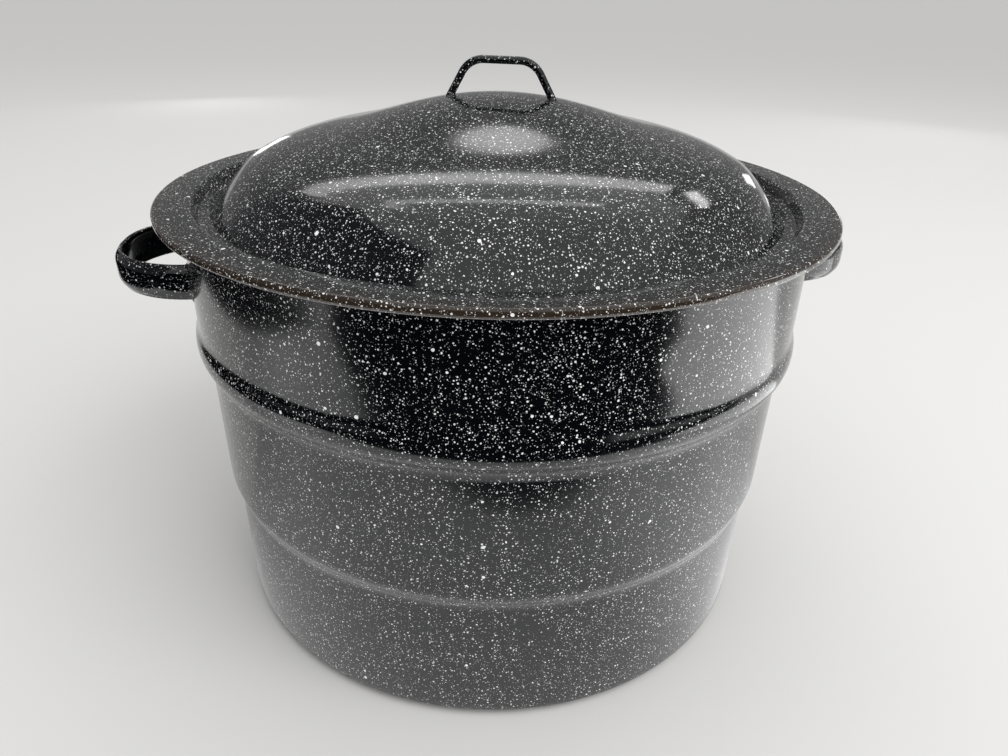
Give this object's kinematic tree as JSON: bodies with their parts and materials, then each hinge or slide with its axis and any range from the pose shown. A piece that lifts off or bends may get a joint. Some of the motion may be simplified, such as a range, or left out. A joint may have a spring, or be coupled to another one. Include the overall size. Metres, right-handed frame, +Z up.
{
  "type": "water-bath canning pot",
  "caption": "Stepped speckled-enamel canning pot with strap handles, a domed lift-off lid with a wire grip, and a wire jar rack with swing-up handles inside.",
  "frame": {"origin": "centre of the pot's base, on the surface that it stands on", "axes": "+Z up along the pot's axis, +X through the two strap handles"},
  "size_m": [0.414, 0.36, 0.3055],
  "materials": {
    "black_enamel": "glossy black porcelain enamel with fine white specks",
    "plated_wire": "bright plated steel wire"
  },
  "bodies": {
    "pot": {"pot_shell": "black_enamel", "side_handle_right": "black_enamel", "side_handle_left": "black_enamel"},
    "lid": {"lid_shell": "black_enamel", "lid_grip": "black_enamel"},
    "rack": {"rack_base_outer_ring": "plated_wire", "rack_base_inner_ring": "plated_wire", "rack_upper_outer_ring": "plated_wire", "rack_upper_inner_ring": "plated_wire", "rack_divider_1": "plated_wire", "rack_divider_2": "plated_wire", "rack_divider_3": "plated_wire", "rack_divider_4": "plated_wire", "rack_divider_5": "plated_wire", "rack_divider_6": "plated_wire", "rack_spoke_1a": "plated_wire", "rack_spoke_1b": "plated_wire", "rack_spoke_2a": "plated_wire", "rack_spoke_2b": "plated_wire", "rack_spoke_3a": "plated_wire", "rack_spoke_3b": "plated_wire", "rack_spoke_4a": "plated_wire", "rack_spoke_4b": "plated_wire", "rack_spoke_5a": "plated_wire", "rack_spoke_5b": "plated_wire", "rack_spoke_6a": "plated_wire", "rack_spoke_6b": "plated_wire"},
    "rack_bail_back": {"rack_handle_back": "plated_wire"},
    "rack_bail_front": {"rack_handle_front": "plated_wire"}
  },
  "joints": [
    {"name": "lid_lift", "type": "slide", "parent": "pot", "child": "lid", "axis": [0, 0, 1], "range_m": [0, 0.56]},
    {"name": "rack_lift", "type": "slide", "parent": "pot", "child": "rack", "axis": [0, 0, 1], "range_m": [0, 0.252]},
    {"name": "rack_handle_back_swing", "type": "hinge", "parent": "rack", "child": "rack_bail_back", "pos_m": [0, 0.13383, 0.078], "axis": [1, 0, 0], "range_deg": [0, 65]},
    {"name": "rack_handle_front_swing", "type": "hinge", "parent": "rack", "child": "rack_bail_front", "pos_m": [0, -0.13383, 0.078], "axis": [-1, 0, 0], "range_deg": [0, 65]}
  ],
  "couplings": [
    {"joint": "rack_lift", "follows": "lid_lift", "ratio": 0.45}
  ]
}
